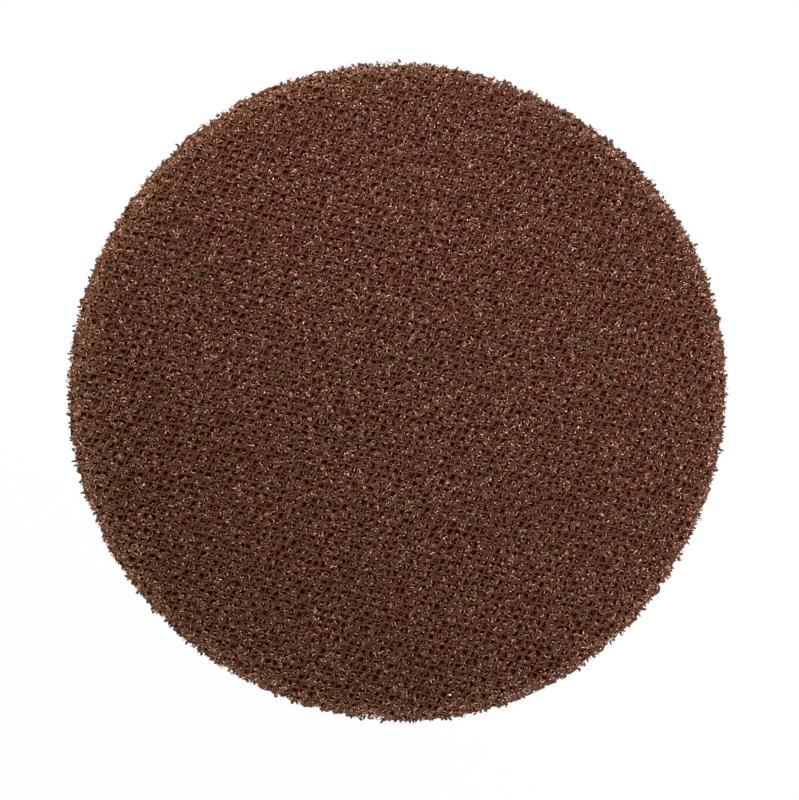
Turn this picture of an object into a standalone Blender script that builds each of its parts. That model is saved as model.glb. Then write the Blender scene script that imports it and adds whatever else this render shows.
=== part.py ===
"""Mesh sanding disc: a knitted net, coated with abrasive and cut to a circle.

The disc lies flat with its abrasive face up. The origin is the middle of the
back, which is a layer of loops that a sander's pad grips. On it lies the net:
chains of strands zigzag along the knitted rows, and bridges join each chain to
the next, so that every cell between them is a dip with four sides. Some of the
dips are open right through, as all of them are on the real net.
"""

import math

import bmesh
import bpy
from mathutils import Vector

# Driving dimensions, in metres
DISC_DIAMETER = 0.150
BACK_LAYER = 0.0009         # the looped back, up to the bottom of the dips
NET_DEPTH = 0.0006          # from there to the top of the strands
KNIT_REPEAT = 0.00283       # one repeat of the knit along a row
KNIT_ROW = 0.00224          # one row of the knit to the next
CHAIN_RISE = 0.00083        # a chain's low corner to its high one, across the row
CHAIN_LONG_SIDE = 0.00144   # a chain's high corner to its next low one, along the row
STRAND_WIDTH = 0.00042      # a coated strand
ROW_ANGLE = math.radians(25.7)  # the rows are not square to the front of the disc

# How the net is drawn
KNITS_PER_CELL = 2          # repeats and rows of the real knit that one modelled cell spans
UPHILL_STEP = 4             # cells from one open cell to the next along one diagonal of the net
DOWNHILL_STEP = 3           # and along the other diagonal
KNOT_FILL = 0.16            # share of an open cell's side that a knot's resin fills, at each end
RIM_SIDES = 144             # facets of the cut rim
OVERCUT = 0.001             # how far blanks and punches run past the disc

RADIUS = DISC_DIAMETER / 2
THICKNESS = BACK_LAYER + NET_DEPTH
CELL_LENGTH = KNITS_PER_CELL * KNIT_REPEAT
ROW_SPACING = KNITS_PER_CELL * KNIT_ROW
ZIGZAG_RISE = KNITS_PER_CELL * CHAIN_RISE
ZIGZAG_LONG_SIDE = KNITS_PER_CELL * CHAIN_LONG_SIDE
RIDGE_WIDTH = KNITS_PER_CELL * STRAND_WIDTH

# Colour, roughness and metallic value of the resin and grit on the strands
COATED_NET = ((0.095, 0.036, 0.021, 1.0), 0.7, 0.0)


def lattice_point(column, line):
    """Where a point of the net lies, along the rows and across them.

    Columns alternate between the chains' high corners (even) and their low
    corners (odd). Along a column, lines half a row apart alternate between a
    corner of a chain and the middle of the cell beside it.
    """
    pair, is_low = divmod(column, 2)
    along = pair * CELL_LENGTH + is_low * ZIGZAG_LONG_SIDE
    across = line * ROW_SPACING / 2 + is_low * (ROW_SPACING / 2 - ZIGZAG_RISE)
    return Vector((along, across, 0))


def is_corner(column, line):
    """True where strands meet, and False in the middle of a cell."""
    return (column + line) % 2 == 0


def lattice_reach():
    """How many columns and lines there are on each side of the middle."""
    columns = 2 * math.ceil((RADIUS + OVERCUT) / CELL_LENGTH) + 2
    lines = 2 * math.ceil((RADIUS + OVERCUT) / ROW_SPACING) + 4
    return columns, lines


def new_object(name, bm, collection):
    """Turns a bmesh into an object of its own in the collection."""
    bmesh.ops.recalc_face_normals(bm, faces=bm.faces)
    mesh = bpy.data.meshes.new(name)
    bm.to_mesh(mesh)
    bm.free()
    obj = bpy.data.objects.new(name, mesh)
    collection.objects.link(obj)
    return obj


def net_blank(collection):
    """A block with a flat back, whose top is the net's ridges and dips."""
    columns, lines = lattice_reach()
    bm = bmesh.new()
    bmesh.ops.create_grid(bm, x_segments=2 * columns, y_segments=2 * lines, size=1)

    corners = set()
    for vert in bm.verts:
        column = round(vert.co.x * columns)
        line = round(vert.co.y * lines)
        vert.co = lattice_point(column, line)
        vert.co.z = BACK_LAYER
        if is_corner(column, line):
            corners.add(vert)
            vert.co.z = THICKNESS

    # A ridge runs between the two corners of each four-sided face.
    for face in list(bm.faces):
        start, end = [vert for vert in face.verts if vert in corners]
        bmesh.utils.face_split(face, start, end)

    border = [edge for edge in bm.edges if edge.is_boundary]
    skirt = bmesh.ops.extrude_edge_only(bm, edges=border)["geom"]
    for vert in skirt:
        if isinstance(vert, bmesh.types.BMVert):
            vert.co.z = 0
    foot = [edge for edge in bm.edges if edge.is_boundary]
    bmesh.ops.contextual_create(bm, geom=foot)
    return new_object("mesh_disc", bm, collection)


def round_punch(collection):
    """The round tool that cuts the disc out of the net."""
    bm = bmesh.new()
    bmesh.ops.create_cone(
        bm,
        cap_ends=True,
        segments=RIM_SIDES,
        radius1=RADIUS,
        radius2=RADIUS,
        depth=THICKNESS + 2 * OVERCUT,
    )
    bmesh.ops.translate(bm, verts=bm.verts, vec=(0, 0, THICKNESS / 2))
    return new_object("round_punch", bm, collection)


def inset_corner(before, corner, after):
    """A cell's corner once the ridges on both its sides take half their width."""
    to_before = (before - corner).normalized()
    to_after = (after - corner).normalized()
    half_angle = to_before.angle(to_after) / 2
    step = RIDGE_WIDTH / 2 / math.sin(half_angle)
    return corner + step * (to_before + to_after).normalized()


def opening_outline(column, line):
    """The opening inside a cell's four ridges, with its corners filled by the knots."""
    cell = [
        lattice_point(column + 1, line),
        lattice_point(column, line + 1),
        lattice_point(column - 1, line),
        lattice_point(column, line - 1),
    ]
    inner = [inset_corner(cell[i - 1], cell[i], cell[(i + 1) % 4]) for i in range(4)]
    outline = []
    for i, corner in enumerate(inner):
        outline.append(corner.lerp(inner[i - 1], KNOT_FILL))
        outline.append(corner.lerp(inner[(i + 1) % 4], KNOT_FILL))
    return outline


def open_cells():
    """The column and line of each cell that is open, spread evenly over the net."""
    most_steps = sum(lattice_reach())
    # The middle of the disc stays closed.
    first = UPHILL_STEP // 2
    for i in range(-most_steps, most_steps + 1):
        for j in range(-most_steps, most_steps + 1):
            uphill = UPHILL_STEP * i + first
            downhill = DOWNHILL_STEP * j
            yield uphill + downhill, uphill - downhill + 1


def gap_punches(collection):
    """One prism for each open cell that lies whole inside the rim."""
    reach = RADIUS - ROW_SPACING / 2
    foot = Vector((0, 0, -OVERCUT))
    bm = bmesh.new()
    for column, line in open_cells():
        outline = opening_outline(column, line)
        if any(point.length > reach for point in outline):
            continue
        base = bm.faces.new([bm.verts.new(point + foot) for point in outline])
        raised = bmesh.ops.extrude_face_region(bm, geom=[base])["geom"]
        top = [item for item in raised if isinstance(item, bmesh.types.BMVert)]
        bmesh.ops.translate(bm, verts=top, vec=(0, 0, THICKNESS + 2 * OVERCUT))
    return new_object("gap_punches", bm, collection)


def add_boolean(obj, cutter, operation):
    """Cuts obj with the cutter, which stays out of the render."""
    modifier = obj.modifiers.new(cutter.name, "BOOLEAN")
    modifier.operation = operation
    modifier.object = cutter
    cutter.display_type = "WIRE"
    cutter.hide_render = True


def coated_net_material():
    """The brown of the resin and grit on the strands."""
    colour, roughness, metallic = COATED_NET
    material = bpy.data.materials.new("coated_net")
    material.use_nodes = True
    shader = material.node_tree.nodes["Principled BSDF"]
    shader.inputs["Base Color"].default_value = colour
    shader.inputs["Roughness"].default_value = roughness
    shader.inputs["Metallic"].default_value = metallic
    return material


def main():
    for obj in list(bpy.data.objects):
        bpy.data.objects.remove(obj)
    parts = bpy.data.collections.new("mesh_sanding_disc")
    cutters = bpy.data.collections.new("cutters")
    for collection in (parts, cutters):
        bpy.context.scene.collection.children.link(collection)

    disc = net_blank(parts)
    gaps = gap_punches(cutters)
    for obj in (disc, gaps):
        obj.rotation_euler.z = ROW_ANGLE
    add_boolean(disc, round_punch(cutters), "INTERSECT")
    add_boolean(disc, gaps, "DIFFERENCE")
    disc.data.materials.append(coated_net_material())


main()
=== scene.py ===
"""Looks of the mesh sanding disc: its coated net, looped pile, cut rim and finish.

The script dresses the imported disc, and runs in Blender 4.5 as it stands. All
lengths are in metres, in the disc's own frame: +Z out of the abrasive face, +Y
towards the top of the picture. The net is worked out in knit coordinates first,
along the knitted rows and across them, and is then laid on the disc.
"""

import math

import bpy
from bpy.props import FloatProperty, FloatVectorProperty, IntProperty, PointerProperty
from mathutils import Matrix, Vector


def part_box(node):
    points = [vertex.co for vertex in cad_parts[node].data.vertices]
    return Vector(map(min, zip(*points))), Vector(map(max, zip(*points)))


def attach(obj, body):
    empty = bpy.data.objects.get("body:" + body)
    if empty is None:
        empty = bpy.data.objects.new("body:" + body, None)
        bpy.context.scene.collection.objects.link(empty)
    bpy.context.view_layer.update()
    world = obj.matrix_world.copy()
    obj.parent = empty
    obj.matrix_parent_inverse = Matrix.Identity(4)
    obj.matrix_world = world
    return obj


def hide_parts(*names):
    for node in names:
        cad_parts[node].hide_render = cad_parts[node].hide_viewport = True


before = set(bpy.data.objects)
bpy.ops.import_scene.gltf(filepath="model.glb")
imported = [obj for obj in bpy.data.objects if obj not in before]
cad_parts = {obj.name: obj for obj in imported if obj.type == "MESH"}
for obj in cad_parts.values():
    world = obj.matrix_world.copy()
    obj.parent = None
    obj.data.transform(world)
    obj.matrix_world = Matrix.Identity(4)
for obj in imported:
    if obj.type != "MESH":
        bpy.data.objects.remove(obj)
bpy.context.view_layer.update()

bl_info = {
    "name": "Mesh Sanding Disc",
    "version": (1, 0, 0),
    "blender": (4, 5, 0),
    "location": "3D View > Sidebar > Sanding Disc",
    "description": "Dresses a net sanding disc with its strands, looped pile, frayed rim and stage",
    "category": "Add Mesh",
}

NODE = "mesh_disc"
BODY = "root"

DISC_LOW, DISC_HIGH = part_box(NODE)
RADIUS = (DISC_HIGH[0] - DISC_LOW[0]) / 2
THICKNESS = DISC_HIGH[2] - DISC_LOW[2]

# No filament or strand goes under the flat back, or far over the net
LOWEST = 0.00002
HIGHEST = THICKNESS + 0.00012

# The disc in the picture's 799 by 800 pixels
FRAME_SIZE = (799, 800)
DISC_CENTRE_PIXEL = (397.7, 391.5)
DISC_RADIUS_PIXELS = 328.7
METRES_PER_PIXEL = RADIUS / DISC_RADIUS_PIXELS


# Settings

class NetSettings(bpy.types.PropertyGroup):
    """The knit's repeat and its strands."""

    repeat: FloatProperty(
        name="Repeat", description="One repeat of the knit along a row",
        default=0.002827, unit="LENGTH",
    )
    row_pitch: FloatProperty(
        name="Row pitch", description="One row of the knit to the next",
        default=0.002240, unit="LENGTH",
    )
    row_lean: FloatProperty(
        name="Row lean", description="How far each row is shifted along itself from the row below",
        default=0.000054, unit="LENGTH",
    )
    row_angle: FloatProperty(
        name="Row angle", description="Direction of the rows, from the picture's horizontal",
        default=math.radians(25.74), subtype="ANGLE",
    )
    first_corner: FloatVectorProperty(
        name="First corner", description="A high corner of a chain, along the rows and across them",
        default=(0.00043, 0.00030), size=2, unit="LENGTH",
    )
    rise: FloatProperty(
        name="Chain rise", description="A chain's low corner to its high one, across the row",
        default=0.000833, unit="LENGTH",
    )
    long_side: FloatProperty(
        name="Chain long side", description="A chain's high corner to its next low one, along the row",
        default=0.001439, unit="LENGTH",
    )
    chain_radius: FloatProperty(
        name="Chain radius", description="Half the thickness of a chain's strand",
        default=0.00027, unit="LENGTH",
    )
    bridge_radius: FloatProperty(
        name="Bridge radius", description="Half the thickness of a bridge's strand",
        default=0.00019, unit="LENGTH",
    )
    bridge_sink: FloatProperty(
        name="Bridge sink", description="How far a bridge dips where it passes under a chain",
        default=0.00031, unit="LENGTH",
    )
    stray: FloatProperty(
        name="Stray", description="How far a strand strays from its place in the knit",
        default=0.00039, unit="LENGTH",
    )
    skew: FloatProperty(
        name="Skew", description="How far the cloth is pulled sideways at the top of the disc",
        default=-0.00023, unit="LENGTH",
    )
    twist: FloatProperty(
        name="Twist", description="Sideways pull that grows towards the corners of the cloth",
        default=0.00155, unit="LENGTH",
    )
    drift: FloatProperty(
        name="Drift", description="Sideways pull that grows towards the rim",
        default=-0.00035, unit="LENGTH",
    )
    bow: FloatProperty(
        name="Bow", description="How far the rows bow up towards the disc's top and bottom",
        default=0.00118, unit="LENGTH",
    )


class PileSettings(bpy.types.PropertyGroup):
    """The curled loops behind the net and the matted pile that they grow from."""

    curl_radius: FloatProperty(
        name="Curl radius", description="Radius of a curled loop",
        default=0.00040, unit="LENGTH",
    )
    filament_radius: FloatProperty(
        name="Filament radius", description="Half the thickness of a loop's filament",
        default=0.000096, unit="LENGTH",
    )
    wander: FloatProperty(
        name="Wander", description="How far a loop strays from the middle of its opening",
        default=0.00095, unit="LENGTH",
    )
    mat_top: FloatProperty(
        name="Mat top", description="Height of the matted pile's upper face",
        default=0.00040, unit="LENGTH",
    )
    mat_bottom: FloatProperty(
        name="Mat bottom", description="Height of the matted pile's lower face",
        default=0.00022, unit="LENGTH",
    )


class RimSettings(bpy.types.PropertyGroup):
    """The cut and frayed rim."""

    fray: FloatProperty(
        name="Fray", description="How unevenly the strands end at the rim",
        default=0.0017, unit="LENGTH",
    )
    loop_count: IntProperty(
        name="Rim loops", description="Loops of filament that stand at the rim",
        default=1900, min=0,
    )
    cut_end_count: IntProperty(
        name="Cut ends", description="Ends of cut strands that stand out of the rim",
        default=900, min=0,
    )
    cut_end_length: FloatProperty(
        name="Cut end length", description="Mean length of a cut strand end",
        default=0.00080, unit="LENGTH",
    )
    # The amber edge is painted glow: light shining through the thin resin at the cut rim, painted into
    # the colour.
    glow_band: FloatProperty(
        name="Amber band", description="Width of the paler, amber edge",
        default=0.0065, unit="LENGTH",
    )


class FinishSettings(bpy.types.PropertyGroup):
    """Colours of the coat and the filaments, with a painted glow at the rim, painted glints on the
    filaments and painted shade in the pits.
    """

    coat: FloatVectorProperty(
        name="Coat", description="Resin and grit on the strands",
        default=(0.1060, 0.0375, 0.0228), size=3, subtype="COLOR", min=0.0, max=1.0,
    )
    coat_red: FloatVectorProperty(
        name="Red coat", description="Redder patches of the coat",
        default=(0.1150, 0.0290, 0.0212), size=3, subtype="COLOR", min=0.0, max=1.0,
    )
    coat_olive: FloatVectorProperty(
        name="Olive coat", description="Greener patches of the coat",
        default=(0.0970, 0.0450, 0.0180), size=3, subtype="COLOR", min=0.0, max=1.0,
    )
    # The coat's paler colour at the rim is painted glow of light through the thin resin.
    coat_edge_glow: FloatVectorProperty(
        name="Coat at the rim", description="Thinner coat on the strands at the cut rim",
        default=(0.145, 0.066, 0.029), size=3, subtype="COLOR", min=0.0, max=1.0,
    )
    # The amber of the filaments at the rim is painted glow of light through the clear resin.
    filament_edge_glow: FloatVectorProperty(
        name="Amber", description="Clear resin on the filaments at the cut rim",
        default=(0.340, 0.145, 0.053), size=3, subtype="COLOR", min=0.0, max=1.0,
    )
    filament: FloatVectorProperty(
        name="Filament", description="The loops' filaments",
        default=(0.148, 0.028, 0.008), size=3, subtype="COLOR", min=0.0, max=1.0,
    )
    # The pale beads are painted glints: highlights painted into the filaments' colour.
    glint_glaze: FloatVectorProperty(
        name="Glaze", description="Pale beads of clear resin on the filaments",
        default=(0.905, 0.497, 0.352), size=3, subtype="COLOR", min=0.0, max=1.0,
    )
    mat_strand: FloatVectorProperty(
        name="Mat strands", description="The finer filaments of the matted pile",
        default=(0.112, 0.024, 0.009), size=3, subtype="COLOR", min=0.0, max=1.0,
    )
    back: FloatVectorProperty(
        name="Back", description="The gaps between the mat's strands, on the back",
        default=(0.066, 0.023, 0.013), size=3, subtype="COLOR", min=0.0, max=1.0,
    )
    # Behind the net the mat's gaps take this darker colour as painted shade of the pits.
    mat: FloatVectorProperty(
        name="Mat", description="The gaps between the mat's strands, behind the net",
        default=(0.052, 0.0060, 0.0015), size=3, subtype="COLOR", min=0.0, max=1.0,
    )


class StageSettings(bpy.types.PropertyGroup):
    """Camera, lamps and floor."""

    lens: FloatProperty(
        name="Lens", description="Focal length in millimetres",
        default=100.0, min=10.0,
    )
    key_watts: FloatProperty(
        name="Key lamp", description="Power of the lamp past the top of the picture",
        default=0.72, unit="POWER",
    )
    key_size: FloatProperty(
        name="Key size", description="Side of the square key lamp",
        default=0.03, unit="LENGTH",
    )
    side_watts: FloatProperty(
        name="Side lamp", description="Power of the lamp past the right of the picture",
        default=0.46, unit="POWER",
    )
    side_size: FloatProperty(
        name="Side size", description="Side of the square side lamp",
        default=0.03, unit="LENGTH",
    )
    sky: FloatProperty(
        name="Sky", description="Strength of the even light from all round",
        default=0.08, min=0.0,
    )


# Writing node trees

class NodeWriter:
    """Adds nodes to a tree, and sets or links each input that it is given."""

    def __init__(self, tree):
        self.tree = tree

    def add(self, kind, inputs=(), output=0, **settings):
        """Adds a node and returns one of its outputs. inputs maps a name or number to a value."""
        node = self.tree.nodes.new(kind)
        for name, value in settings.items():
            setattr(node, name, value)
        for key, value in dict(inputs).items():
            self.feed(node.inputs[key], value)
        return node.outputs[output]

    def feed(self, socket, value):
        """Links an output to the socket, or sets the socket to a plain value."""
        if isinstance(value, bpy.types.NodeSocket):
            self.tree.links.new(value, socket)
        else:
            socket.default_value = value

    def math(self, operation, *values):
        return self.add("ShaderNodeMath", enumerate(values), operation=operation)

    def total(self, *values):
        """The sum of all the values."""
        result = values[0]
        for value in values[1:]:
            result = self.math("ADD", result, value)
        return result

    def product(self, *values):
        """The product of all the values."""
        result = values[0]
        for value in values[1:]:
            result = self.math("MULTIPLY", result, value)
        return result

    def vector_math(self, operation, *values, output=0, **named):
        inputs = dict(enumerate(values)) | named
        return self.add("ShaderNodeVectorMath", inputs, output, operation=operation)

    def vector(self, x=0.0, y=0.0, z=0.0):
        return self.add("ShaderNodeCombineXYZ", {0: x, 1: y, 2: z})

    def split(self, vector):
        """The x, y and z of a vector."""
        node = self.add("ShaderNodeSeparateXYZ", {0: vector}).node
        return node.outputs[0], node.outputs[1], node.outputs[2]

    def from_middle(self, x, y):
        """How far a place lies from the disc's axis."""
        return self.vector_math("LENGTH", self.vector(x, y), output="Value")

    def noise(self, vector, size, detail, output="Fac"):
        """Noise whose lumps are about as wide as size."""
        inputs = {"Vector": vector, "Scale": 1 / size, "Detail": detail}
        return self.add("ShaderNodeTexNoise", inputs, output)

    def swing(self, vector, size, detail):
        """Noise to both sides of 0, by up to about a half."""
        return self.math("SUBTRACT", self.noise(vector, size, detail), 0.5)

    def swing_vector(self, vector, size, detail):
        """The same in x, y and z, each by itself."""
        colour = self.noise(vector, size, detail, "Color")
        return self.vector_math("SUBTRACT", colour, (0.5, 0.5, 0.5))

    def ramp(self, value, low, high):
        """A smooth rise from 0, where value is low or less, to 1, where it is high or more."""
        inputs = {"Value": value, "From Min": low, "From Max": high}
        return self.add("ShaderNodeMapRange", inputs, interpolation_type="SMOOTHSTEP")

    def in_view(self):
        """1 for what the camera, a reflection or glass shows, and 0 for light on the disc."""
        rays = self.add("ShaderNodeLightPath").node.outputs
        seen = self.math("MAXIMUM", rays["Is Camera Ray"], rays["Is Glossy Ray"])
        return self.math("MAXIMUM", seen, rays["Is Transmission Ray"])


class GeometryTree(NodeWriter):
    """A geometry node tree with named inputs for its sizes."""

    def __init__(self, name, sizes):
        super().__init__(bpy.data.node_groups.new(name, "GeometryNodeTree"))
        face = self.tree.interface
        face.new_socket("Geometry", in_out="OUTPUT", socket_type="NodeSocketGeometry")
        for label, value in sizes.items():
            kind = "NodeSocketInt" if isinstance(value, int) else "NodeSocketFloat"
            socket = face.new_socket(label, in_out="INPUT", socket_type=kind)
            socket.default_value = value
        self.sizes = self.tree.nodes.new("NodeGroupInput").outputs

    def position(self):
        return self.add("GeometryNodeInputPosition")

    def random(self, low, high, seed):
        """A random number for each element, or a vector where low is one."""
        index = self.add("GeometryNodeInputIndex")
        if isinstance(low, (int, float)):
            inputs = {2: low, 3: high, "ID": index, "Seed": seed}
            return self.add("FunctionNodeRandomValue", inputs, 1, data_type="FLOAT")
        inputs = {0: low, 1: high, "ID": index, "Seed": seed}
        return self.add("FunctionNodeRandomValue", inputs, 0, data_type="FLOAT_VECTOR")

    def move_to(self, geometry, position):
        return self.add("GeometryNodeSetPosition", {"Geometry": geometry, "Position": position})

    def shift(self, geometry, offset):
        return self.add("GeometryNodeSetPosition", {"Geometry": geometry, "Offset": offset})

    def points(self, count, offset):
        """A row of points, a step of offset apart."""
        return self.add("GeometryNodeMeshLine", {"Count": count, "Offset": offset})

    def delete(self, geometry, chosen):
        """Deletes the chosen points."""
        inputs = {"Geometry": geometry, "Selection": chosen}
        return self.add("GeometryNodeDeleteGeometry", inputs, domain="POINT")

    def tube(self, curve, radius, sides):
        """A closed tube round the curve."""
        ring = self.add("GeometryNodeCurvePrimitiveCircle", {"Resolution": sides, "Radius": 1.0})
        inputs = {"Curve": curve, "Profile Curve": ring, "Scale": radius, "Fill Caps": True}
        return self.add("GeometryNodeCurveToMesh", inputs)

    def finish(self, geometry, material):
        """Ends the tree with real, smooth geometry in its material.

        None of it goes under the lowest height or over the highest.
        """
        real = self.add("GeometryNodeRealizeInstances", {"Geometry": geometry})
        x, y, z = self.split(self.position())
        level = self.math("MINIMUM", self.math("MAXIMUM", z, LOWEST), HIGHEST)
        real = self.move_to(real, self.vector(x, y, level))
        smooth = self.add("GeometryNodeSetShadeSmooth", {"Geometry": real, "Shade Smooth": True})
        dressed = self.add("GeometryNodeSetMaterial", {"Geometry": smooth, "Material": material})
        end = self.tree.nodes.new("NodeGroupOutput")
        self.tree.links.new(dressed, end.inputs[0])

    def grow(self, name, sizes):
        """Runs the tree with these sizes and keeps what it makes as a plain mesh object."""
        obj = bpy.data.objects.new(name, bpy.data.meshes.new(name))
        bpy.context.scene.collection.objects.link(obj)
        modifier = obj.modifiers.new(name, "NODES")
        modifier.node_group = self.tree
        for socket in self.tree.interface.items_tree:
            if socket.in_out == "INPUT" and socket.name in sizes:
                modifier[socket.identifier] = sizes[socket.name]
        evaluated = obj.evaluated_get(bpy.context.evaluated_depsgraph_get())
        made = bpy.data.meshes.new_from_object(evaluated)
        made.name = name
        obj.modifiers.remove(modifier)
        obj.data = made
        return obj


# The net's lattice

# The cut waves in and out and runs a little out of round, and its strands fray
CUT_WAVE = 0.0019
CUT_WAVE_SIZE = 0.0014
FRAY_SIZE = 0.0009
LOBES = (
    # lobes round the disc, height, direction of the first lobe in degrees
    (2, 0.00010, -42.0),
    (3, 0.00017, 43.0),
    (4, 0.00028, 18.0),
)

# What every tree on the lattice takes in, with its defaults
LATTICE_INPUTS = {
    "Repeat": 0.0028, "Row Pitch": 0.0022, "Row Lean": 0.0, "Row Angle": 0.0,
    "Skew": 0.0, "Twist": 0.0, "Drift": 0.0, "Bow": 0.0,
    "Start Along": 0.0, "Start Across": 0.0, "Rise": 0.0008, "Long Side": 0.0014,
    "Reach": RADIUS, "Rows": 10, "Seed": 0,
}

# Repeats and rows past the disc's own, so that the lattice covers it at any angle
SPARE_CELLS = 6


def net_sizes(net):
    """The knit's repeat, and how the cloth lies and is pulled."""
    return {
        "Repeat": net.repeat,
        "Row Pitch": net.row_pitch,
        "Row Lean": net.row_lean,
        "Row Angle": net.row_angle,
        "Skew": net.skew,
        "Twist": net.twist,
        "Drift": net.drift,
        "Bow": net.bow,
    }


def lay_on_disc(tree, geometry):
    """Turns the rows to their angle and pulls the cloth as the picture shows it."""
    sizes = tree.sizes
    inputs = {"Vector": tree.position(), "Angle": sizes["Row Angle"]}
    turned = tree.add("ShaderNodeVectorRotate", inputs, rotation_type="Z_AXIS")
    x, y, z = tree.split(turned)
    m = tree.math("DIVIDE", x, RADIUS)
    n = tree.math("DIVIDE", y, RADIUS)
    squares = tree.total(tree.product(m, m), tree.product(n, n))
    sideways = tree.total(
        tree.product(n, sizes["Skew"]),
        tree.product(m, n, sizes["Twist"]),
        tree.product(squares, sizes["Drift"]),
    )
    upwards = tree.product(n, n, sizes["Bow"])
    placed = tree.vector(tree.total(x, sideways), tree.total(y, upwards), z)
    return tree.move_to(geometry, placed)


def cut_wobble(tree, x, y):
    """How far the cut runs outside the circle, in the direction of a place on the disc."""
    waves = tree.swing(tree.vector(x, y), CUT_WAVE_SIZE, 0.0)
    outside = tree.product(waves, CUT_WAVE)
    direction = tree.math("ARCTAN2", y, x)
    for lobes, height, first in LOBES:
        turn = tree.math("MULTIPLY_ADD", direction, lobes, -lobes * math.radians(first))
        outside = tree.math("MULTIPLY_ADD", tree.math("COSINE", turn), height, outside)
    return outside


def past_rim(tree, reach, fray):
    """True for what lies further out than the ragged cut."""
    x, y, _ = tree.split(tree.position())
    ragged = tree.swing(tree.position(), FRAY_SIZE, 2.0)
    limit = tree.total(reach, tree.product(ragged, fray), cut_wobble(tree, x, y))
    return tree.math("GREATER_THAN", tree.from_middle(x, y), limit)


# The strands

POINTS_PER_REPEAT = 6
STRAND_SIDES = 4
STRAND_INSET = 0.00005
CHAIN_SEED = 1
BRIDGE_SEED = 2

# A chain's middle lies this many of its radii under the net's top, and it swells at its knots
CHAIN_SINK = 1.5
KNOT_SWELL = 0.2

# The strands stray less up and down, and stray this much more where they tangle at the rim
STRAY_SIZE = 0.0013
STRAY_SHARES = (1.0, 1.0, 0.6)
TANGLE = 2.2
TANGLE_START = RADIUS - 0.0040
TANGLE_END = RADIUS - 0.0010

# The coat is lumpy: its least and its most radius, as shares of the strand's own
LUMP_SIZE = 0.0009
LEAST_LUMP = 0.4
MOST_LUMP = 1.6


def strand_tree(material):
    """Strands that zigzag along the rows, one tube to a row, cut off at the rim."""
    tree = GeometryTree("knitted_strands", LATTICE_INPUTS | {
        "Roundness": 1.0, "Height": 0.001, "Sink": 0.0, "Strand Radius": 0.0002,
        "Knot Swell": KNOT_SWELL, "Stray": 0.0, "Fray": 0.0, "Points": 10,
    })
    sizes = tree.sizes

    # One row: wave is 0 at the high corners and 1 at the low ones.
    turns = tree.math("DIVIDE", tree.add("GeometryNodeInputIndex"), POINTS_PER_REPEAT)
    cosine = tree.math("COSINE", tree.product(turns, 2 * math.pi))
    round_wave = tree.math("MULTIPLY_ADD", cosine, -0.5, 0.5)
    sharp_wave = tree.math("PINGPONG", tree.product(turns, 2.0), 1.0)
    wave = tree.total(
        tree.product(round_wave, sizes["Roundness"]),
        tree.product(sharp_wave, tree.math("SUBTRACT", 1.0, sizes["Roundness"])),
    )
    half_repeat = tree.product(sizes["Repeat"], 0.5)
    along = tree.total(
        sizes["Start Along"],
        tree.product(turns, sizes["Repeat"]),
        tree.product(tree.math("SUBTRACT", sizes["Long Side"], half_repeat), wave),
    )
    across = tree.math("SUBTRACT", sizes["Start Across"], tree.product(wave, sizes["Rise"]))
    under = tree.math("SUBTRACT", 1.0, wave)
    height = tree.math("SUBTRACT", sizes["Height"], tree.product(under, under, sizes["Sink"]))
    line = tree.points(sizes["Points"], (0.0, 0.0, 0.0))
    line = tree.move_to(line, tree.vector(along, across, height))
    row = tree.add("GeometryNodeMeshToCurve", {"Mesh": line})
    at_knot = tree.math("ABSOLUTE", tree.math("MULTIPLY_ADD", wave, 2.0, -1.0))
    swell = tree.math("MULTIPLY_ADD", at_knot, sizes["Knot Swell"], 1.0)
    row = tree.add("GeometryNodeSetCurveRadius", {"Curve": row, "Radius": swell})

    # All the rows, with the small unevenness of a real knit.
    step = tree.vector(sizes["Row Lean"], sizes["Row Pitch"])
    starts = tree.points(sizes["Rows"], step)
    rows = tree.add("GeometryNodeInstanceOnPoints", {"Points": starts, "Instance": row})
    rows = tree.add("GeometryNodeRealizeInstances", {"Geometry": rows})
    seed_shift = tree.vector(0.0, 0.0, tree.product(sizes["Seed"], 0.01))
    spot = tree.vector_math("ADD", tree.position(), seed_shift)
    stray = tree.vector_math("MULTIPLY", tree.swing_vector(spot, STRAY_SIZE, 3.0), STRAY_SHARES)
    distance = tree.vector_math("LENGTH", tree.position(), output="Value")
    at_rim = tree.ramp(distance, TANGLE_START, TANGLE_END)
    reach = tree.product(sizes["Stray"], tree.math("MULTIPLY_ADD", at_rim, TANGLE, 1.0))
    rows = tree.shift(rows, tree.vector_math("SCALE", stray, Scale=reach))
    rows = lay_on_disc(tree, rows)
    rows = tree.delete(rows, past_rim(tree, sizes["Reach"], sizes["Fray"]))

    lumps = tree.noise(tree.position(), LUMP_SIZE, 2.0)
    lumps = tree.math("MULTIPLY_ADD", lumps, MOST_LUMP - LEAST_LUMP, LEAST_LUMP)
    radius = tree.product(sizes["Strand Radius"], lumps, tree.add("GeometryNodeInputRadius"))
    tree.finish(tree.tube(rows, radius, STRAND_SIDES), material)
    return tree


def strand_counts(net):
    """The repeats in a row, and the rows, that cover the disc."""
    repeats = 2 * math.ceil(RADIUS / net.repeat) + SPARE_CELLS
    rows = 2 * math.ceil(RADIUS / net.row_pitch) + SPARE_CELLS
    return repeats, rows


def make_strands(tree, name, net, rim, start, rise, long_side, own):
    """One layer of strands: the chains or the bridges. own holds that layer's own sizes."""
    repeats, rows = strand_counts(net)
    sizes = net_sizes(net) | own
    sizes.update({
        "Start Along": start[0] - repeats / 2 * net.repeat - rows // 2 * net.row_lean,
        "Start Across": start[1] - rows // 2 * net.row_pitch,
        "Rise": rise,
        "Long Side": long_side,
        "Stray": net.stray,
        "Reach": RADIUS - STRAND_INSET,
        "Fray": rim.fray,
        "Points": repeats * POINTS_PER_REPEAT,
        "Rows": rows,
    })
    return tree.grow(name, sizes)


def belongs_to_disc(obj):
    """Ties a piece to the disc's body, and hides the disc's plain part that the pieces stand in for.
    """
    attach(obj, BODY)
    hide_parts(NODE)


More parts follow.
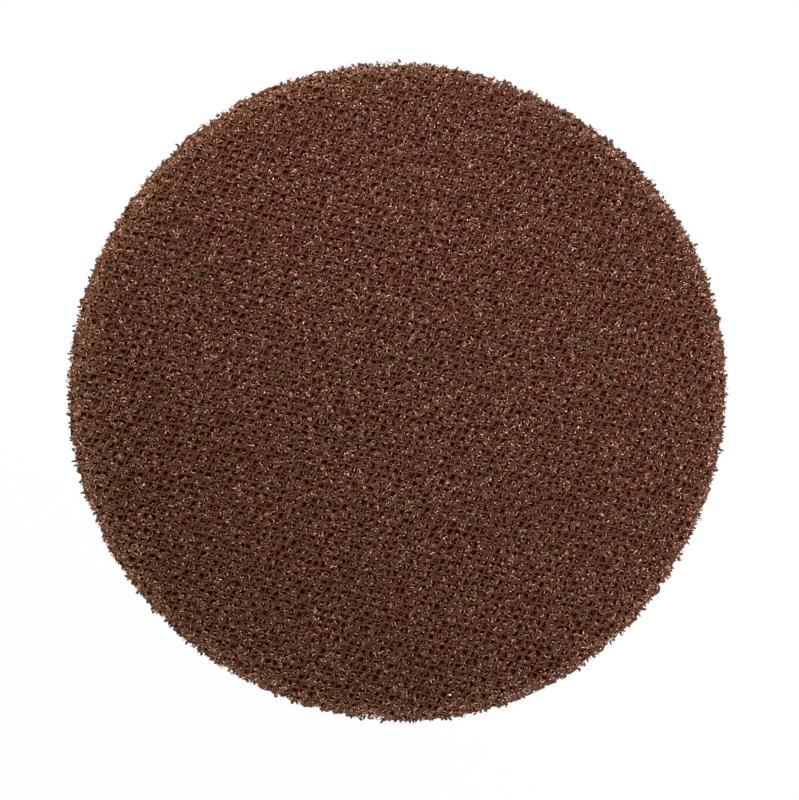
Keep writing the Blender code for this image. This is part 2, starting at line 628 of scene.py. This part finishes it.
class AddNet(bpy.types.Operator):
    """Add the chains that zigzag along the knitted rows and the bridges between them"""

    bl_idname = "sanding_disc.add_net"
    bl_label = "Add Net"

    def execute(self, context):
        net = context.scene.disc_net
        rim = context.scene.disc_rim
        tree = strand_tree(coat_material(context.scene.disc_finish, rim))
        chain_height = THICKNESS - CHAIN_SINK * net.chain_radius
        chains = make_strands(
            tree, "knit_chains", net, rim,
            start=net.first_corner,
            rise=net.rise,
            long_side=net.long_side,
            own={
                "Roundness": 1.0, "Height": chain_height, "Sink": 0.0,
                "Strand Radius": net.chain_radius, "Knot Swell": KNOT_SWELL, "Seed": CHAIN_SEED,
            },
        )
        # A bridge hangs from a chain's low corner to the high corner of the chain below.
        low_corner = (net.first_corner[0] + net.long_side, net.first_corner[1] - net.rise)
        bridges = make_strands(
            tree, "knit_bridges", net, rim,
            start=low_corner,
            rise=net.row_pitch - net.rise,
            long_side=net.repeat - net.long_side - net.row_lean,
            own={
                "Roundness": 0.0, "Height": chain_height, "Sink": net.bridge_sink,
                "Strand Radius": net.bridge_radius, "Knot Swell": 0.0, "Seed": BRIDGE_SEED,
            },
        )
        for obj in (chains, bridges):
            belongs_to_disc(obj)
        return {"FINISHED"}


# The pile

CURL_POINTS = 6
CURL_SIDES = 3
CURL_SCALES = ((0.75, 0.75, 0.75), (1.2, 1.2, 1.2))
CURLS = (
    # name, turns, rise, lowest, highest, tilt, times the curl radius, share of the openings
    ("pile_rings", 0.85, 0.00008, 0.00085, 0.00118, 0.28, 1.30, 1.0),
    ("pile_hooks", 0.48, 0.00016, 0.00075, 0.00110, 0.23, 2.00, 1.0),
    ("pile_curls", 0.90, 0.00030, 0.00050, 0.00102, 0.68, 0.90, 1.0),
    ("back_loops", 0.80, 0.00004, 0.00020, 0.00023, 0.05, 1.40, 0.35),
)

# The pile ends this far inside the cut, and its loops end this unevenly
PILE_INSET = 0.0003
PILE_FRAY = 0.0005

# The mat under the loops, its lumps, and how its edge wanders, as a share of the radius
MAT_SIDES = 180
MAT_RINGS = 30
MAT_LUMP = 0.00014
MAT_LUMP_SIZE = 0.0012
MAT_EDGE = 0.012
MAT_EDGE_SIZE = 0.0011

# Seeds of the pile's first piece and of the rim's, and what each draw adds to its piece's seed
PILE_SEED = 20
CUT_END_SEED = 40
RIM_LOOP_SEED = 50
CUT_END_AIM_DRAW = 1
CUT_END_SIZE_DRAW = 2
CURL_TURN_DRAW = 11
CURL_SIZE_DRAW = 12
CURL_SHARE_DRAW = 13


def seed_for(tree, draw):
    """The seed of one of a piece's random draws."""
    return tree.math("ADD", tree.sizes["Seed"], draw)


def curl(tree):
    """One curled loop of filament, about its own middle."""
    sizes = tree.sizes
    inputs = {
        "Resolution": CURL_POINTS,
        "Rotations": sizes["Turns"],
        "Start Radius": sizes["Curl Radius"],
        "End Radius": sizes["Curl Radius"],
        "Height": sizes["Curl Rise"],
    }
    spiral = tree.add("GeometryNodeCurveSpiral", inputs)
    spiral = tree.add("GeometryNodeResampleCurve", {"Curve": spiral, "Count": CURL_POINTS})
    return tree.tube(spiral, sizes["Filament Radius"], CURL_SIDES)


def tumbled(tree, points, piece):
    """The piece on every point, each turned and sized at random."""
    sizes = tree.sizes
    seed = seed_for(tree, CURL_TURN_DRAW)
    lean = tree.random((-1.0, -1.0, -math.pi), (1.0, 1.0, math.pi), seed)
    turn = tree.vector_math("MULTIPLY", lean, tree.vector(sizes["Tilt"], sizes["Tilt"], 1.0))
    inputs = {
        "Points": points,
        "Instance": piece,
        "Rotation": tree.add("FunctionNodeEulerToRotation", {0: turn}),
        "Scale": tree.random(*CURL_SCALES, seed_for(tree, CURL_SIZE_DRAW)),
    }
    return tree.add("GeometryNodeInstanceOnPoints", inputs)


def scattered(tree, along, across):
    """A spot near the given one, at a random height between the lowest and the highest."""
    sizes = tree.sizes
    spread = tree.random((-1.0, -1.0, 0.0), (1.0, 1.0, 1.0), sizes["Seed"])
    stray_x, stray_y, lift = tree.split(spread)
    depth = tree.math("SUBTRACT", sizes["Highest"], sizes["Lowest"])
    return tree.vector(
        tree.math("MULTIPLY_ADD", stray_x, sizes["Wander"], along),
        tree.math("MULTIPLY_ADD", stray_y, sizes["Wander"], across),
        tree.math("MULTIPLY_ADD", lift, depth, sizes["Lowest"]),
    )


def pile_tree(material):
    """Curled loops behind the net, up to one for each opening."""
    tree = GeometryTree("curled_loops", LATTICE_INPUTS | {
        "Turns": 0.8, "Curl Radius": 0.0004, "Curl Rise": 0.0002, "Filament Radius": 0.0001,
        "Tilt": 0.5, "Wander": 0.0005, "Lowest": 0.0004, "Highest": 0.0010, "Share": 1.0,
        "Columns": 10,
    })
    sizes = tree.sizes

    # A grid of whole numbers: two columns of openings to each repeat.
    width = tree.math("SUBTRACT", sizes["Columns"], 1)
    depth = tree.math("SUBTRACT", sizes["Rows"], 1)
    inputs = {
        "Size X": width, "Vertices X": sizes["Columns"],
        "Size Y": depth, "Vertices Y": sizes["Rows"],
    }
    grid = tree.add("GeometryNodeMeshGrid", inputs)
    x, y, _ = tree.split(tree.position())
    column = tree.math("ROUND", tree.total(x, tree.product(width, 0.5)))
    row = tree.math("ROUND", tree.total(y, tree.product(depth, 0.5)))
    is_low = tree.math("MODULO", column, 2.0)
    pair = tree.math("FLOOR", tree.product(column, 0.5))
    along = tree.total(
        sizes["Start Along"],
        tree.product(pair, sizes["Repeat"]),
        tree.product(is_low, sizes["Long Side"]),
        tree.product(row, sizes["Row Lean"]),
    )
    drop = tree.product(is_low, sizes["Rise"])
    across = tree.math("SUBTRACT", tree.product(row, sizes["Row Pitch"]), drop)
    across = tree.total(sizes["Start Across"], across)
    points = tree.add("GeometryNodeMeshToPoints", {"Mesh": grid})
    points = lay_on_disc(tree, tree.move_to(points, scattered(tree, along, across)))
    points = tree.delete(points, past_rim(tree, sizes["Reach"], PILE_FRAY))
    chance = tree.random(0.0, 1.0, seed_for(tree, CURL_SHARE_DRAW))
    points = tree.delete(points, tree.math("GREATER_THAN", chance, sizes["Share"]))
    tree.finish(tumbled(tree, points, curl(tree)), material)
    return tree


def mat_tree(material):
    """The matted pile: a thin uneven slab under the loops."""
    tree = GeometryTree("matted_pile", {
        "Reach": RADIUS, "Top": 0.0005, "Bottom": 0.0002, "Unevenness": 0.0002,
    })
    sizes = tree.sizes
    inputs = {
        "Vertices": MAT_SIDES, "Side Segments": 1, "Fill Segments": MAT_RINGS,
        "Radius": sizes["Reach"], "Depth": 1.0,
    }
    slab = tree.add("GeometryNodeMeshCylinder", inputs, fill_type="NGON")
    x, y, z = tree.split(tree.position())
    is_top = tree.math("GREATER_THAN", z, 0.0)
    # The lumps of its two faces are read far apart, so that they differ.
    flat = tree.vector(x, y, tree.product(is_top, 0.01))
    lumps = tree.swing(flat, MAT_LUMP_SIZE, 2.0)
    level = tree.total(
        sizes["Bottom"],
        tree.product(is_top, tree.math("SUBTRACT", sizes["Top"], sizes["Bottom"])),
        tree.product(lumps, sizes["Unevenness"]),
    )
    ragged = tree.swing(tree.vector(x, y), MAT_EDGE_SIZE, 2.0)
    outward = tree.math("MULTIPLY_ADD", ragged, MAT_EDGE, 1.0)
    outward = tree.math("MULTIPLY_ADD", cut_wobble(tree, x, y), 1 / RADIUS, outward)
    place = tree.vector(tree.product(x, outward), tree.product(y, outward), level)
    tree.finish(tree.move_to(slab, place), material)
    return tree


class AddPile(bpy.types.Operator):
    """Add the curled loops behind the net and the matted pile that they grow from"""

    bl_idname = "sanding_disc.add_pile"
    bl_label = "Add Pile"

    def execute(self, context):
        net = context.scene.disc_net
        pile = context.scene.disc_pile
        rim = context.scene.disc_rim
        finish = context.scene.disc_finish
        tree = pile_tree(filament_material(finish, rim))
        repeats, rows = strand_counts(net)
        start_along = net.first_corner[0] - repeats // 2 * net.repeat - rows // 2 * net.row_lean
        start_across = net.first_corner[1] - (rows // 2 + 0.5) * net.row_pitch
        for number, curls in enumerate(CURLS):
            name, turns, curl_rise, lowest, highest, tilt, times, share = curls
            sizes = net_sizes(net)
            sizes.update({
                "Start Along": start_along,
                "Start Across": start_across,
                "Rise": net.rise,
                "Long Side": net.long_side,
                "Turns": turns,
                "Curl Radius": pile.curl_radius * times,
                "Curl Rise": curl_rise,
                "Filament Radius": pile.filament_radius,
                "Tilt": tilt,
                "Wander": pile.wander,
                "Lowest": lowest,
                "Highest": highest,
                "Share": share,
                "Reach": RADIUS - PILE_INSET,
                "Columns": 2 * repeats,
                "Rows": rows,
                "Seed": PILE_SEED + number,
            })
            belongs_to_disc(tree.grow(name, sizes))

        mat = mat_tree(mat_material(finish, rim)).grow("pile_mat", {
            "Reach": RADIUS - PILE_INSET,
            "Top": pile.mat_top,
            "Bottom": pile.mat_bottom,
            "Unevenness": MAT_LUMP,
        })
        belongs_to_disc(mat)
        return {"FINISHED"}


# The rim

# How far inside the disc's radius the loops and the cut ends stand
LOOP_INSET = 0.0014
CUT_END_INSET = 0.0006

# A cut end bends by a share of its length, narrows by a share of its radius towards its tip,
# and is turned and sized at random. Its radius is a little over that of a chain.
CUT_END_POINTS = 4
CUT_END_SIDES = 6
CUT_END_BEND = 0.25
CUT_END_TAPER = 0.5
CUT_END_SWELL = 1.1
CUT_END_TURNS = ((-0.8, -0.8, -0.10), (0.8, 0.8, 0.10))
CUT_END_SCALES = ((0.5, 0.6, 0.6), (1.3, 1.2, 1.2))


def rim_points(tree):
    """Points scattered about the rim. Each keeps its way outwards as an attribute."""
    sizes = tree.sizes
    ring = tree.add("GeometryNodeMeshCircle", {"Vertices": sizes["Count"], "Radius": sizes["Reach"]})
    x, y, _ = tree.split(tree.position())
    inputs = {"Geometry": ring, "Name": "outward", "Value": tree.vector(x, y)}
    ring = tree.add("GeometryNodeStoreNamedAttribute", inputs, data_type="FLOAT_VECTOR")
    points = tree.add("GeometryNodeMeshToPoints", {"Mesh": ring})
    outward = tree.math("MULTIPLY_ADD", cut_wobble(tree, x, y), 1 / RADIUS, 1.0)
    return tree.move_to(points, scattered(tree, tree.product(x, outward), tree.product(y, outward)))


def rim_loop_tree(material):
    """Loops of filament that the cut left standing at the rim."""
    tree = GeometryTree("rim_loops", {
        "Reach": RADIUS, "Count": 10, "Wander": 0.0005, "Lowest": 0.0004, "Highest": 0.0012,
        "Turns": 0.8, "Curl Radius": 0.0004, "Curl Rise": 0.0002, "Filament Radius": 0.0001,
        "Tilt": 0.5, "Seed": 0,
    })
    tree.finish(tumbled(tree, rim_points(tree), curl(tree)), material)
    return tree


def cut_end_tree(material):
    """Short bent ends of cut strands, which point outwards at odd angles."""
    tree = GeometryTree("cut_ends", {
        "Reach": RADIUS, "Count": 10, "Wander": 0.0005, "Lowest": 0.0004, "Highest": 0.0012,
        "Length": 0.001, "Strand Radius": 0.0002, "Seed": 0,
    })
    sizes = tree.sizes
    points = rim_points(tree)
    share = tree.math("DIVIDE", tree.add("GeometryNodeInputIndex"), CUT_END_POINTS - 1)
    bend = tree.product(share, share, sizes["Length"], CUT_END_BEND)
    line = tree.points(CUT_END_POINTS, (0.0, 0.0, 0.0))
    line = tree.move_to(line, tree.vector(tree.product(share, sizes["Length"]), bend, 0.0))
    curve = tree.add("GeometryNodeMeshToCurve", {"Mesh": line})
    taper = tree.math("MULTIPLY_ADD", tree.product(share, share, share), -CUT_END_TAPER, 1.0)
    end = tree.tube(curve, tree.product(sizes["Strand Radius"], taper), CUT_END_SIDES)
    stored = {"Name": "outward"}
    outward = tree.add("GeometryNodeInputNamedAttribute", stored, data_type="FLOAT_VECTOR")
    wobble = tree.random(*CUT_END_TURNS, seed_for(tree, CUT_END_AIM_DRAW))
    aim = tree.vector_math("ADD", tree.vector_math("NORMALIZE", outward), wobble)
    inputs = {
        "Points": points,
        "Instance": end,
        "Rotation": tree.add("FunctionNodeAlignRotationToVector", {"Vector": aim}, axis="X"),
        "Scale": tree.random(*CUT_END_SCALES, seed_for(tree, CUT_END_SIZE_DRAW)),
    }
    tree.finish(tree.add("GeometryNodeInstanceOnPoints", inputs), material)
    return tree


class AddRim(bpy.types.Operator):
    """Add the loops and the cut strand ends that stand out of the rim"""

    bl_idname = "sanding_disc.add_rim"
    bl_label = "Add Rim"

    def execute(self, context):
        net = context.scene.disc_net
        pile = context.scene.disc_pile
        rim = context.scene.disc_rim
        finish = context.scene.disc_finish
        loops = rim_loop_tree(filament_material(finish, rim)).grow("rim_loops", {
            "Reach": RADIUS - LOOP_INSET,
            "Count": rim.loop_count,
            "Wander": 0.0012,
            "Lowest": 0.0009,
            "Highest": 0.00124,
            "Turns": 0.70,
            "Curl Radius": pile.curl_radius,
            "Curl Rise": 0.0001,
            "Filament Radius": pile.filament_radius,
            "Tilt": 0.3,
            "Seed": RIM_LOOP_SEED,
        })
        ends = cut_end_tree(coat_material(finish, rim)).grow("rim_cut_ends", {
            "Reach": RADIUS - CUT_END_INSET,
            "Count": rim.cut_end_count,
            "Wander": 0.00035,
            "Lowest": 0.00045,
            "Highest": 0.00110,
            "Length": rim.cut_end_length,
            "Strand Radius": CUT_END_SWELL * net.chain_radius,
            "Seed": CUT_END_SEED,
        })
        for obj in (loops, ends):
            belongs_to_disc(obj)
        return {"FINISHED"}


# Materials

# How wide the lumps of each pattern are
RED_PATCH = 0.0024
OLIVE_PATCH = 0.0045
# The painted amber glow at the rim comes and goes in waves and pieces of these widths
AMBER_GLOW_WAVE = 0.014
AMBER_GLOW_PIECE = 0.0008
GRIT = 0.00016
FINE_GRIT = 0.00007
SPECK = 0.00023
RESIN_BLOTCH = 0.0006
# The pale beads on the filaments and on the mat are painted glints
GLINT_BEAD = 0.00060
GLINT_CROWD = 0.0035
GLOSS_BLOTCH = 0.0008
RIPPLE = 0.00024
MAT_CELL = 0.0009
MAT_GLINT_BEAD = 0.00048

# The olive patches are read this far from the red ones, so that they lie elsewhere
OLIVE_SHIFT = (0.31, 0.17, 0.0)

# The amber edge, a painted glow of light through the resin at the rim: its most strength, and how it
# changes for each metre across the disc
AMBER_GLOW_MOST = 0.94
AMBER_GLOW_WIDER_RIGHT = -3.6
AMBER_GLOW_STRONGER_RIGHT = -3.5
AMBER_GLOW_STRONGER_OFF_MIDDLE = -3.0

# The heights between which the mat turns from its back's colour to its front's darker one, which is
# painted shade
BACK_END = 0.00024
FRONT_START = 0.00034


class ShaderTree(NodeWriter):
    """The node tree of a new material with one Principled shader."""

    def __init__(self, name):
        self.material = bpy.data.materials.new(name)
        self.material.use_nodes = True
        super().__init__(self.material.node_tree)
        self.shader = self.tree.nodes["Principled BSDF"]
        self.place = self.add("ShaderNodeTexCoord", output="Object")

    def mix(self, share, first, second):
        """first where share is 0 and second where it is 1."""
        inputs = {0: share, 6: first, 7: second}
        return self.add("ShaderNodeMix", inputs, 2, data_type="RGBA")

    def bump(self, height, distance, under=None):
        """Relief of this height, on top of the relief under it if there is any."""
        inputs = {"Height": height, "Distance": distance, "Strength": 1.0}
        if under is not None:
            inputs["Normal"] = under
        return self.add("ShaderNodeBump", inputs)


def opaque(colour):
    return (*colour, 1.0)


def coat_colours(tree, finish, rim, base, at_rim):
    """The coat's colour: red and olive patches, and a painted amber glow towards the cut rim."""
    patches = tree.noise(tree.place, RED_PATCH, 2.0)
    colour = tree.mix(tree.ramp(patches, 0.55, 0.68), opaque(base), opaque(finish.coat_red))
    elsewhere = tree.vector_math("ADD", tree.place, OLIVE_SHIFT)
    others = tree.noise(elsewhere, OLIVE_PATCH, 2.0)
    colour = tree.mix(tree.ramp(others, 0.55, 0.70), colour, opaque(finish.coat_olive))

    # The amber edge is painted glow of light through the thin resin at the cut rim. It comes and goes
    # round the rim, and is widest and palest at the left, where the lamps light the disc least.
    x, y, _ = tree.split(tree.place)
    waves = tree.noise(tree.place, AMBER_GLOW_WAVE, 1.0)
    wide = tree.total(waves, tree.product(x, AMBER_GLOW_WIDER_RIGHT), -0.5)
    inward = tree.product(wide, 1.4 * rim.glow_band)
    distance = tree.total(tree.from_middle(x, y), inward)
    glow_edge = tree.ramp(distance, RADIUS - rim.glow_band, RADIUS)
    pieces = tree.ramp(tree.noise(tree.place, AMBER_GLOW_PIECE, 1.0), 0.30, 0.60)
    glow_strength = tree.total(
        AMBER_GLOW_MOST,
        tree.product(x, AMBER_GLOW_STRONGER_RIGHT),
        tree.product(tree.math("ABSOLUTE", y), AMBER_GLOW_STRONGER_OFF_MIDDLE),
    )
    return tree.mix(tree.product(glow_edge, pieces, glow_strength), colour, opaque(at_rim))


def coat_material(finish, rim):
    """Matt resin with fine grit in it, on the strands of the net."""
    tree = ShaderTree("coated strand")
    colour = coat_colours(tree, finish, rim, finish.coat, finish.coat_edge_glow)
    grit = tree.noise(tree.place, GRIT, 3.0)
    specks = tree.noise(tree.place, SPECK, 1.0)
    blotches = tree.noise(tree.place, RESIN_BLOTCH, 2.0)
    # These average 1, because noise averages a half.
    shade = tree.total(
        -0.80,
        tree.product(grit, 0.7),
        tree.product(specks, 2.1),
        tree.product(blotches, 0.8),
    )
    tint = tree.add("ShaderNodeCombineColor", {0: shade, 1: shade, 2: shade})
    inputs = {0: 1.0, 6: colour, 7: tint}
    speckled = tree.add("ShaderNodeMix", inputs, 2, data_type="RGBA", blend_type="MULTIPLY")
    tree.feed(tree.shader.inputs["Base Color"], speckled)
    tree.shader.inputs["Roughness"].default_value = 0.7
    tree.shader.inputs["Specular IOR Level"].default_value = 0.12
    tree.shader.inputs["Specular Tint"].default_value = (1.0, 0.65, 0.45, 1.0)
    coarse = tree.bump(grit, 0.00008)
    fine = tree.bump(tree.noise(tree.place, FINE_GRIT, 2.0), 0.00003, under=coarse)
    tree.feed(tree.shader.inputs["Normal"], fine)
    return tree.material


def filament_material(finish, rim):
    """Glossy resin on the smooth filaments of the loops."""
    tree = ShaderTree("glossy filament")
    colour = coat_colours(tree, finish, rim, finish.filament, finish.filament_edge_glow)
    # Painted glints: pale beads of colour that stand in for highlights, closer together in some places
    # than in others.
    glint_crowding = tree.product(tree.noise(tree.place, GLINT_CROWD, 1.0), 0.16)
    painted_glints = tree.ramp(tree.total(tree.noise(tree.place, GLINT_BEAD, 1.0), glint_crowding), 0.585, 0.70)
    tree.feed(tree.shader.inputs["Base Color"], tree.mix(painted_glints, colour, opaque(finish.glint_glaze)))
    blotches = tree.noise(tree.place, GLOSS_BLOTCH, 2.0)
    tree.feed(tree.shader.inputs["Roughness"], tree.math("MULTIPLY_ADD", blotches, 0.16, 0.07))
    tree.shader.inputs["IOR"].default_value = 1.6
    tree.shader.inputs["Specular IOR Level"].default_value = 0.90
    tree.shader.inputs["Specular Tint"].default_value = (1.0, 0.78, 0.61, 1.0)
    tree.shader.inputs["Coat Weight"].default_value = 0.2
    tree.shader.inputs["Coat Roughness"].default_value = 0.10
    ripple = tree.noise(tree.place, RIPPLE, 2.0)
    tree.feed(tree.shader.inputs["Normal"], tree.bump(ripple, 0.00003))
    return tree.material


def mat_material(finish, rim):
    """Finer filaments than the modelled ones, curled into a mat, as relief and colour."""
    tree = ShaderTree("matted filaments")
    swirl = tree.swing_vector(tree.place, MAT_CELL, 2.0)
    bent = tree.vector_math("MULTIPLY_ADD", swirl, (MAT_CELL,) * 3, tree.place)
    curls = tree.add("ShaderNodeTexVoronoi", {"Vector": bent, "Scale": 1 / MAT_CELL})
    # Rings of filament lie round the middle of each cell.
    strand = tree.ramp(tree.math("PINGPONG", curls, 0.20), 0.09, 0.17)
    colour = coat_colours(tree, finish, rim, finish.mat_strand, finish.coat_edge_glow)
    # Pale beads of colour on the mat's strands are painted glints.
    painted_glints = tree.ramp(tree.noise(tree.place, MAT_GLINT_BEAD, 1.0), 0.60, 0.74)
    glinting = tree.mix(painted_glints, colour, opaque(finish.glint_glaze))
    # The gaps between them are darker and redder behind the net than on the back: painted shade of the
    # deep pits under the net.
    _, _, height = tree.split(tree.place)
    shade_behind_net = tree.ramp(height, BACK_END, FRONT_START)
    gaps = tree.mix(shade_behind_net, opaque(finish.back), opaque(finish.mat))
    lit = tree.mix(strand, gaps, glinting)
    tree.feed(tree.shader.inputs["Base Color"], lit)
    tree.shader.inputs["Roughness"].default_value = 0.8
    tree.shader.inputs["Specular IOR Level"].default_value = 0.0
    tree.feed(tree.shader.inputs["Normal"], tree.bump(strand, 0.00012))
    return tree.material


# The stage

PAPER_SIDE = 3.0
PAPER_GLOW = 0.97
GLOW_START = RADIUS - 0.0030
GLOW_END = RADIUS - 0.0008

# The key lamp stands past the top of the picture, a little to the left.
# The side lamp stands past its right, a little towards the bottom.
KEY_PLACE = (-0.050, 0.170, 0.200)
SIDE_PLACE = (0.205, -0.035, 0.160)


def floor_material():
    """White paper: it glows white to the eye, and shows a faint shadow of the disc.

    Under the disc it is plain paper, so that no glow comes up through the net.
    """
    tree = ShaderTree("white paper")
    tree.shader.inputs["Base Color"].default_value = (0.9, 0.9, 0.9, 1.0)
    tree.shader.inputs["Roughness"].default_value = 0.9
    tree.shader.inputs["Specular IOR Level"].default_value = 0.0
    glow = tree.add("ShaderNodeEmission", {"Color": (1.0, 1.0, 1.0, 1.0), "Strength": 1.0})
    x, y, _ = tree.split(tree.place)
    clear = tree.ramp(tree.from_middle(x, y), GLOW_START, GLOW_END)
    share = tree.product(tree.in_view(), clear, PAPER_GLOW)
    mixed = tree.add("ShaderNodeMixShader", {0: share, 1: tree.shader.outputs[0], 2: glow})
    output = tree.tree.nodes["Material Output"]
    tree.feed(output.inputs["Surface"], mixed)
    return tree.material


def make_floor():
    bpy.ops.mesh.primitive_plane_add(size=PAPER_SIDE, location=(0.0, 0.0, 0.0))
    floor = bpy.context.object
    floor.name = "floor"
    floor.data.materials.append(floor_material())


def make_world(strength):
    """White all round: full white to the eye, and softer as a light."""
    world = bpy.data.worlds.new("white studio")
    world.use_nodes = True
    bpy.context.scene.world = world
    writer = NodeWriter(world.node_tree)
    level = writer.math("MULTIPLY_ADD", writer.in_view(), 1.0 - strength, strength)
    background = world.node_tree.nodes["Background"]
    background.inputs["Color"].default_value = (1.0, 1.0, 1.0, 1.0)
    writer.feed(background.inputs["Strength"], level)


def make_lamp(name, place, size, watts):
    """A square soft lamp that faces the disc."""
    light = bpy.data.lights.new(name, "AREA")
    light.shape = "SQUARE"
    light.size = size
    light.energy = watts
    lamp = bpy.data.objects.new(name, light)
    bpy.context.scene.collection.objects.link(lamp)
    lamp.location = place
    lamp.rotation_euler = (-Vector(place)).to_track_quat("-Z", "Y").to_euler()


def make_camera(lens):
    """Straight above the disc, with the disc where the picture has it."""
    data = bpy.data.cameras.new("camera")
    data.lens = lens
    data.sensor_width = 36.0
    camera = bpy.data.objects.new("camera", data)
    bpy.context.scene.collection.objects.link(camera)
    bpy.context.scene.camera = camera
    across = (FRAME_SIZE[0] / 2 - DISC_CENTRE_PIXEL[0]) * METRES_PER_PIXEL
    up = (DISC_CENTRE_PIXEL[1] - FRAME_SIZE[1] / 2) * METRES_PER_PIXEL
    picture_height = FRAME_SIZE[1] * METRES_PER_PIXEL
    distance = lens * picture_height / data.sensor_width
    camera.location = (across, up, THICKNESS + distance)
    data.clip_start = 0.01


class AddStage(bpy.types.Operator):
    """Add the white floor, the soft lamps and the camera straight above the disc"""

    bl_idname = "sanding_disc.add_stage"
    bl_label = "Add Stage"

    def execute(self, context):
        stage = context.scene.disc_stage
        make_floor()
        make_world(stage.sky)
        make_lamp("key lamp", KEY_PLACE, stage.key_size, stage.key_watts)
        make_lamp("side lamp", SIDE_PLACE, stage.side_size, stage.side_watts)
        make_camera(stage.lens)
        context.scene.view_settings.view_transform = "Standard"
        return {"FINISHED"}


# The add-on

class DiscPanel(bpy.types.Panel):
    """Lists the pieces of the disc and their settings"""

    bl_idname = "VIEW3D_PT_sanding_disc"
    bl_label = "Mesh Sanding Disc"
    bl_space_type = "VIEW_3D"
    bl_region_type = "UI"
    bl_category = "Sanding Disc"

    def draw(self, context):
        layout = self.layout
        scene = context.scene
        for operator in (AddNet, AddPile, AddRim, AddStage):
            layout.operator(operator.bl_idname)
        for name in SETTINGS:
            box = layout.box()
            settings = getattr(scene, name)
            for prop in settings.bl_rna.properties:
                if prop.identifier not in ("rna_type", "name"):
                    box.prop(settings, prop.identifier)


SETTINGS = {
    "disc_net": NetSettings,
    "disc_pile": PileSettings,
    "disc_rim": RimSettings,
    "disc_finish": FinishSettings,
    "disc_stage": StageSettings,
}
CLASSES = (*SETTINGS.values(), AddNet, AddPile, AddRim, AddStage, DiscPanel)


def register():
    for cls in CLASSES:
        bpy.utils.register_class(cls)
    for name, cls in SETTINGS.items():
        setattr(bpy.types.Scene, name, PointerProperty(type=cls))


def unregister():
    for name in SETTINGS:
        delattr(bpy.types.Scene, name)
    for cls in reversed(CLASSES):
        bpy.utils.unregister_class(cls)


def main():
    register()
    bpy.ops.sanding_disc.add_net()
    bpy.ops.sanding_disc.add_pile()
    bpy.ops.sanding_disc.add_rim()
    bpy.ops.sanding_disc.add_stage()


if __name__ == "__main__":
    main()
